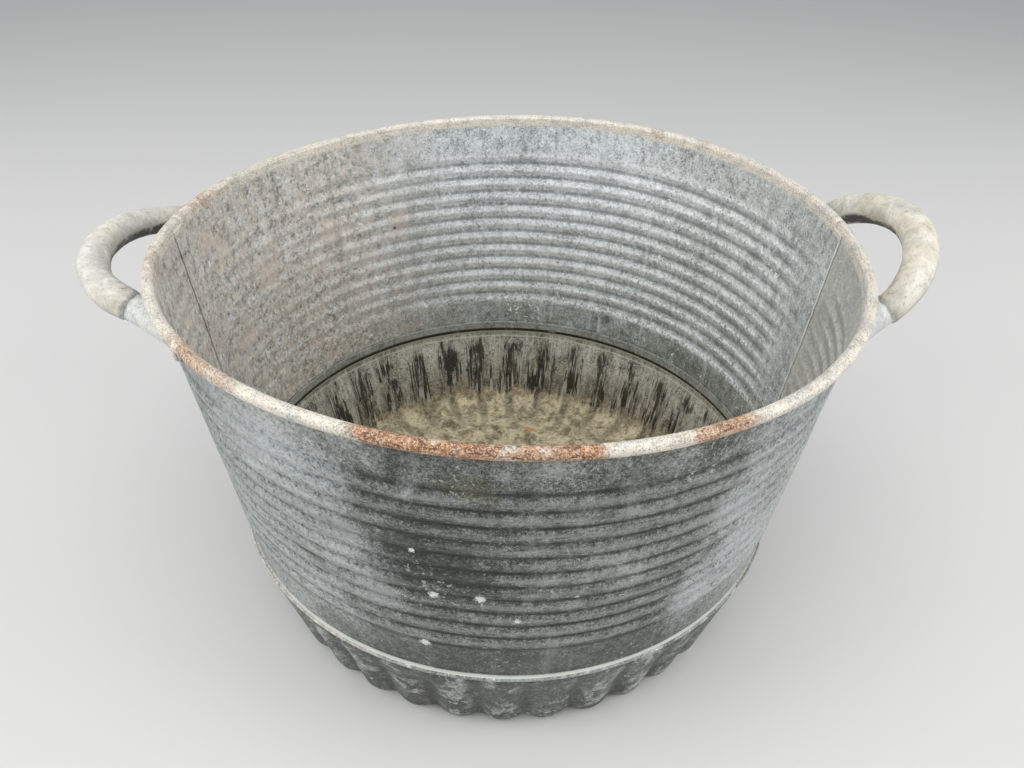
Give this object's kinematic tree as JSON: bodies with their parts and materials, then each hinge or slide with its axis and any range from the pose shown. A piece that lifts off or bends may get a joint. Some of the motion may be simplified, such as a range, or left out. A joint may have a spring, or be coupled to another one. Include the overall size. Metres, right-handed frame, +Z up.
{
  "type": "wash tub",
  "caption": "Round galvanised wash tub with ribbed tapered walls, a rolled rim, a fluted base pan and a hollow grip on riveted feet at each side.",
  "frame": {"origin": "middle of the flat floor, at its underside", "axes": "+Z up along the tub's axis, +X through the middle of the right-hand grip, -Y towards the front wall that the picture is taken from"},
  "size_m": [0.7096, 0.58, 0.3618],
  "materials": {
    "zinc_wall": "galvanised sheet, weathered to a dull blue grey with pale bloom",
    "zinc_base": "galvanised sheet, weathered, with white blotches on the flutes",
    "zinc_grip": "galvanised tube, chalky off-white patina",
    "zinc_foot": "galvanised pressing, dull blue grey",
    "hoop_wire": "plain steel wire with light rust",
    "rivet": "galvanised rivet, dull"
  },
  "bodies": {
    "root": {"front_wall": "zinc_wall", "back_wall": "zinc_wall", "rim_hoop": "hoop_wire", "base_pan": "zinc_base", "right_grip": "zinc_grip", "right_front_foot": "zinc_foot", "right_rear_foot": "zinc_foot", "right_foot_rivets": "rivet", "right_grip_rivets": "rivet", "left_grip": "zinc_grip", "left_front_foot": "zinc_foot", "left_rear_foot": "zinc_foot", "left_foot_rivets": "rivet", "left_grip_rivets": "rivet"}
  },
  "joints": []
}
